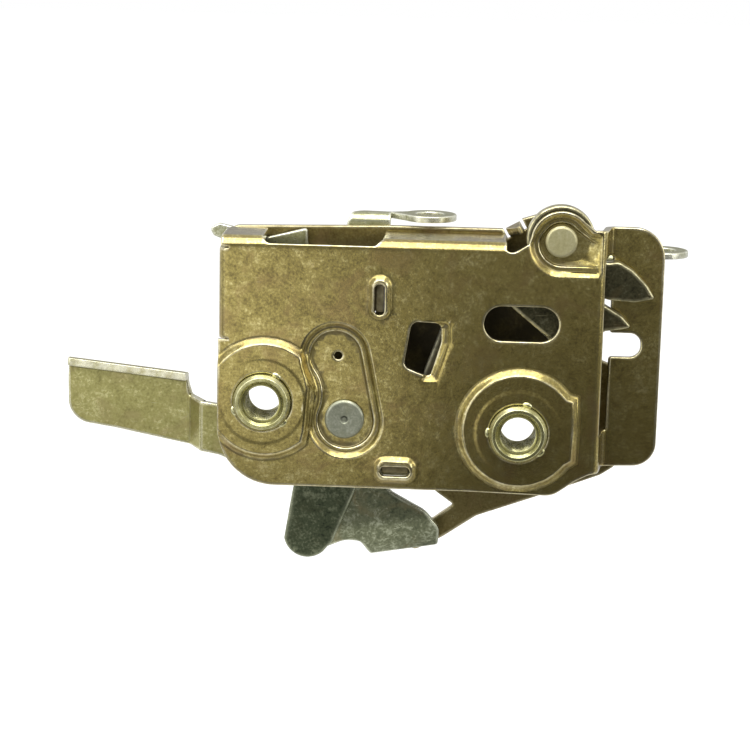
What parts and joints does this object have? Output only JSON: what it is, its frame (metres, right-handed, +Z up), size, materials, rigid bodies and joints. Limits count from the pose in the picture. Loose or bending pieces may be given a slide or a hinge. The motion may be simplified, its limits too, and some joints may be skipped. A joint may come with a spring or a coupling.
{
  "type": "car door lock",
  "caption": "Car door lock: pressed steel housing with two threaded bushes, a rotary fork, its pawl, release levers and locking levers with rod eyes.",
  "frame": {"origin": "axis of the right threaded bush on the plane of the two boss faces, which sit against the inside of the door's shut face", "axes": "+X to the striker side, +Z up, +Y into the door, away from the shut face"},
  "size_m": [0.1585, 0.0379, 0.0939],
  "materials": {
    "yellow_zinc": "yellow passivated zinc, mottled",
    "yellow_zinc_rear": "yellow passivated zinc, darker and browner",
    "yellow_zinc_lever": "yellow passivated zinc, greener",
    "dark_zinc": "dark grey-green zinc with worn edges",
    "rivet_steel": "dull plated steel",
    "pale_zinc": "pale silver-green zinc",
    "spring_wire": "drawn steel wire"
  },
  "bodies": {
    "housing": {"front_plate": "yellow_zinc", "rear_plate": "yellow_zinc_rear", "right_bush": "yellow_zinc_lever", "left_bush": "yellow_zinc_lever", "fork_rivet": "pale_zinc", "lever_rivet": "rivet_steel", "lever_washer": "spring_wire", "pawl_clip": "spring_wire", "fork_spring": "spring_wire", "pawl_spring": "spring_wire", "lever_spring": "spring_wire", "key_rivet": "rivet_steel"},
    "fork_body": {"fork": "dark_zinc"},
    "pawl_body": {"pawl": "yellow_zinc_rear"},
    "release_body": {"release_lever": "yellow_zinc_lever"},
    "outside_body": {"outside_lever": "dark_zinc"},
    "inside_body": {"inside_lever": "dark_zinc"},
    "sill_body": {"sill_lever": "pale_zinc", "sill_shaft": "rivet_steel", "lock_cam": "pale_zinc"},
    "key_body": {"key_lever": "pale_zinc"}
  },
  "joints": [
    {"name": "fork_turn", "type": "hinge", "parent": "housing", "child": "fork_body", "pos_m": [0.0091, 0.0092, 0.0485], "axis": [0, 1, 0], "range_deg": [0, 30], "stiffness_Nm_per_rad": 0.02, "deforming": ["fork_spring"]},
    {"name": "release_turn", "type": "hinge", "parent": "housing", "child": "release_body", "pos_m": [-0.0439, 0.0092, 0.0017], "axis": [0, 1, 0], "range_deg": [0, 12], "stiffness_Nm_per_rad": 0.3},
    {"name": "pawl_turn", "type": "hinge", "parent": "housing", "child": "pawl_body", "pos_m": [0, 0.0092, 0], "axis": [0, -1, 0], "range_deg": [0, 7.2], "stiffness_Nm_per_rad": 0.05, "deforming": ["pawl_spring"]},
    {"name": "outside_turn", "type": "hinge", "parent": "housing", "child": "outside_body", "pos_m": [-0.0439, 0.0092, 0.0017], "axis": [0, 1, 0], "range_deg": [0, 10], "stiffness_Nm_per_rad": 0.1},
    {"name": "inside_turn", "type": "hinge", "parent": "housing", "child": "inside_body", "pos_m": [-0.0439, 0.0092, 0.0017], "axis": [0, 1, 0], "range_deg": [0, 10], "stiffness_Nm_per_rad": 0.1, "deforming": ["lever_spring"]},
    {"name": "sill_turn", "type": "hinge", "parent": "housing", "child": "sill_body", "pos_m": [-0.052, 0.0092, 0.036], "axis": [0, -1, 0], "range_deg": [0, 15]},
    {"name": "key_turn", "type": "hinge", "parent": "housing", "child": "key_body", "pos_m": [0.004, 0.0092, 0.036], "axis": [0, 1, 0], "range_deg": [0, 14]}
  ],
  "couplings": [
    {"joint": "pawl_turn", "follows": "release_turn", "ratio": 0.6}
  ]
}
